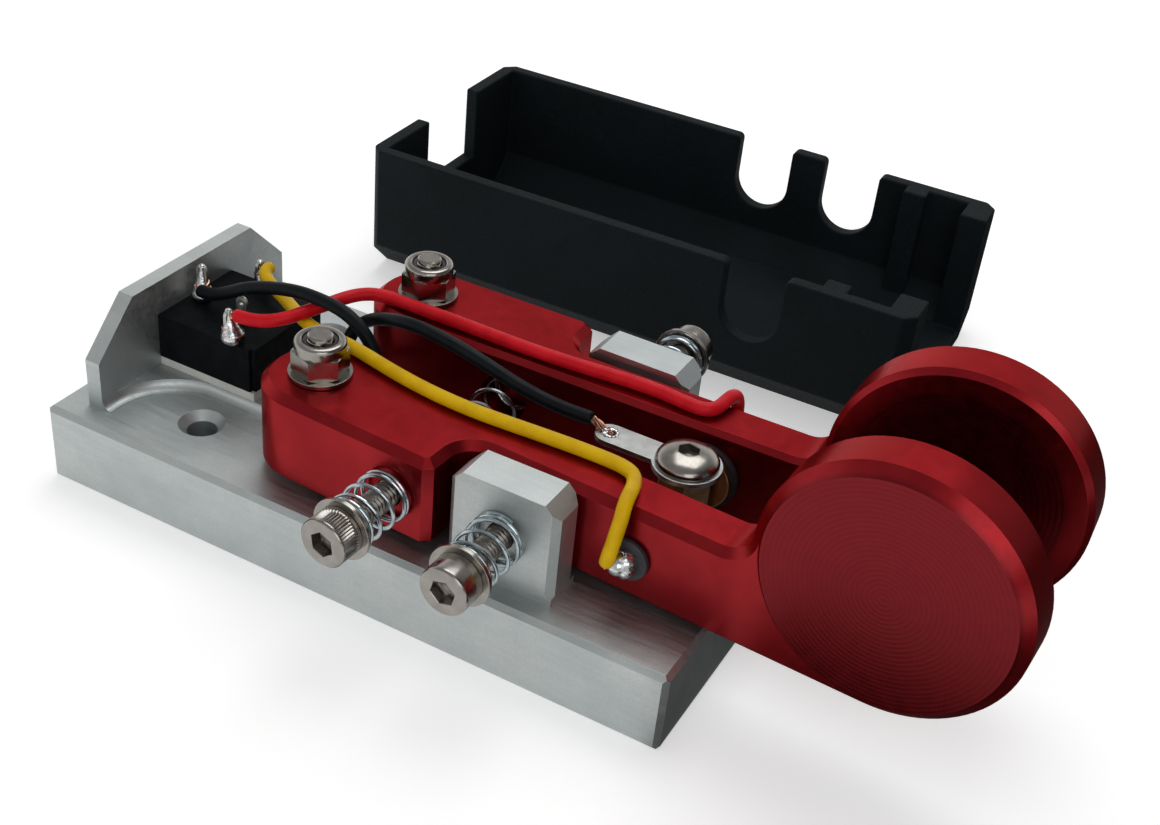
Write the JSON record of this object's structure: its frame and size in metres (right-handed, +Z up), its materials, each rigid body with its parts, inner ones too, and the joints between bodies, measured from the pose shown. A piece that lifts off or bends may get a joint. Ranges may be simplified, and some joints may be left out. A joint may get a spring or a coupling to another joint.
{
  "type": "telegraph key",
  "caption": "Twin-lever telegraph key: milled base, red sprung levers with finger discs, adjusting screws, wired jack, and its black cover taken off.",
  "frame": {"origin": "centre of the base's underside", "axes": "+Z up out of the base; +X forward to the finger discs; +Y to the far side, where the cover stands"},
  "size_m": [0.111, 0.1125, 0.0385],
  "materials": {
    "machined_aluminium": "satin, bead blasted, with bright cut edges",
    "red_anodised": "red anodised, satin",
    "stainless": "bright",
    "spring_wire": "zinc plated",
    "brass": "dull",
    "bronze": "sintered, oiled",
    "insulation": "matte",
    "tinned_metal": "tin plated, satin",
    "solder": "bright, uneven",
    "copper": "bare strands",
    "jack_plastic": "satin moulded",
    "pale_plastic": "matte",
    "black_insulation": "satin",
    "yellow_insulation": "satin",
    "red_insulation": "satin",
    "black_nylon": "grainy, printed from powder"
  },
  "bodies": {
    "base": {"base_block": "machined_aluminium", "jack_strip": "pale_plastic", "jack_body": "jack_plastic", "jack_ring": "tinned_metal", "jack_pins": "tinned_metal", "pin_solder": "solder", "pivot_bolts": "stainless", "pivot_washers": "stainless", "pivot_nuts": "stainless", "centre_post": "brass", "solder_lug": "tinned_metal", "lug_solder": "copper", "post_screw": "stainless", "stop_spring_near": "spring_wire", "stop_spring_far": "spring_wire", "wire_black": "black_insulation", "wire_yellow": "yellow_insulation", "wire_red": "red_insulation"},
    "near_arm": {"lever_near": "red_anodised", "bush_near": "bronze", "insulator_near": "insulation", "insulator_bush_near": "insulation", "contact_near": "brass", "contact_solder_near": "solder", "tension_spring": "spring_wire", "return_spring": "spring_wire"},
    "far_arm": {"lever_far": "red_anodised", "bush_far": "bronze", "insulator_far": "insulation", "insulator_bush_far": "insulation", "contact_far": "brass", "contact_solder_far": "solder"},
    "tension_carriage": {"tension_washer": "stainless", "spring_cup": "stainless"},
    "tension_turner": {"tension_screw": "stainless"},
    "near_stop_carriage": {"stop_washer_near": "stainless"},
    "near_stop_turner": {"stop_screw_near": "stainless"},
    "far_stop_carriage": {"stop_washer_far": "stainless"},
    "far_stop_turner": {"stop_screw_far": "stainless"},
    "cover_body": {"cover": "black_nylon"}
  },
  "joints": [
    {"name": "near_lever_swing", "type": "hinge", "parent": "base", "child": "near_arm", "pos_m": [-0.0082, -0.0105, 0.0165], "axis": [0, 0, 1], "range_deg": [0, 2.35], "stiffness_Nm_per_rad": 0.2, "springref_deg": -5.73, "deforming": ["return_spring", "wire_yellow"]},
    {"name": "far_lever_swing", "type": "hinge", "parent": "base", "child": "far_arm", "pos_m": [-0.0082, 0.0105, 0.0165], "axis": [0, 0, -1], "range_deg": [0, 0.92], "stiffness_Nm_per_rad": 0.2, "springref_deg": -5.73, "deforming": ["return_spring", "wire_red"]},
    {"name": "tension_feed", "type": "slide", "parent": "near_arm", "child": "tension_carriage", "axis": [-0.0506, -0.9987, 0], "range_m": [-0.001, 0.001], "deforming": ["tension_spring", "return_spring"]},
    {"name": "tension_turn", "type": "hinge", "parent": "tension_carriage", "child": "tension_turner", "pos_m": [0.00512, -0.02619, 0.0163], "axis": [-0.0506, -0.9987, 0], "range_deg": [-750, 750]},
    {"name": "near_stop_feed", "type": "slide", "parent": "base", "child": "near_stop_carriage", "axis": [0, -1, 0], "range_m": [0, 0.002], "deforming": ["stop_spring_near"]},
    {"name": "near_stop_turn", "type": "hinge", "parent": "near_stop_carriage", "child": "near_stop_turner", "pos_m": [0.0187, -0.026, 0.0163], "axis": [0, -1, 0], "range_deg": [-30, 1470]},
    {"name": "far_stop_feed", "type": "slide", "parent": "base", "child": "far_stop_carriage", "axis": [0, 1, 0], "range_m": [0, 0.002], "deforming": ["stop_spring_far"]},
    {"name": "far_stop_turn", "type": "hinge", "parent": "far_stop_carriage", "child": "far_stop_turner", "pos_m": [0.0187, 0.027, 0.0163], "axis": [0, 1, 0], "range_deg": [-30, 1470]},
    {"name": "cover_lift", "type": "slide", "parent": "base", "child": "cover_body", "axis": [0, 0, 1], "range_m": [0, 0.06]}
  ],
  "couplings": [
    {"joint": "tension_turn", "follows": "tension_feed", "rad_per_m": 12566},
    {"joint": "near_stop_turn", "follows": "near_stop_feed", "rad_per_m": 12566},
    {"joint": "far_stop_turn", "follows": "far_stop_feed", "rad_per_m": 12566}
  ]
}
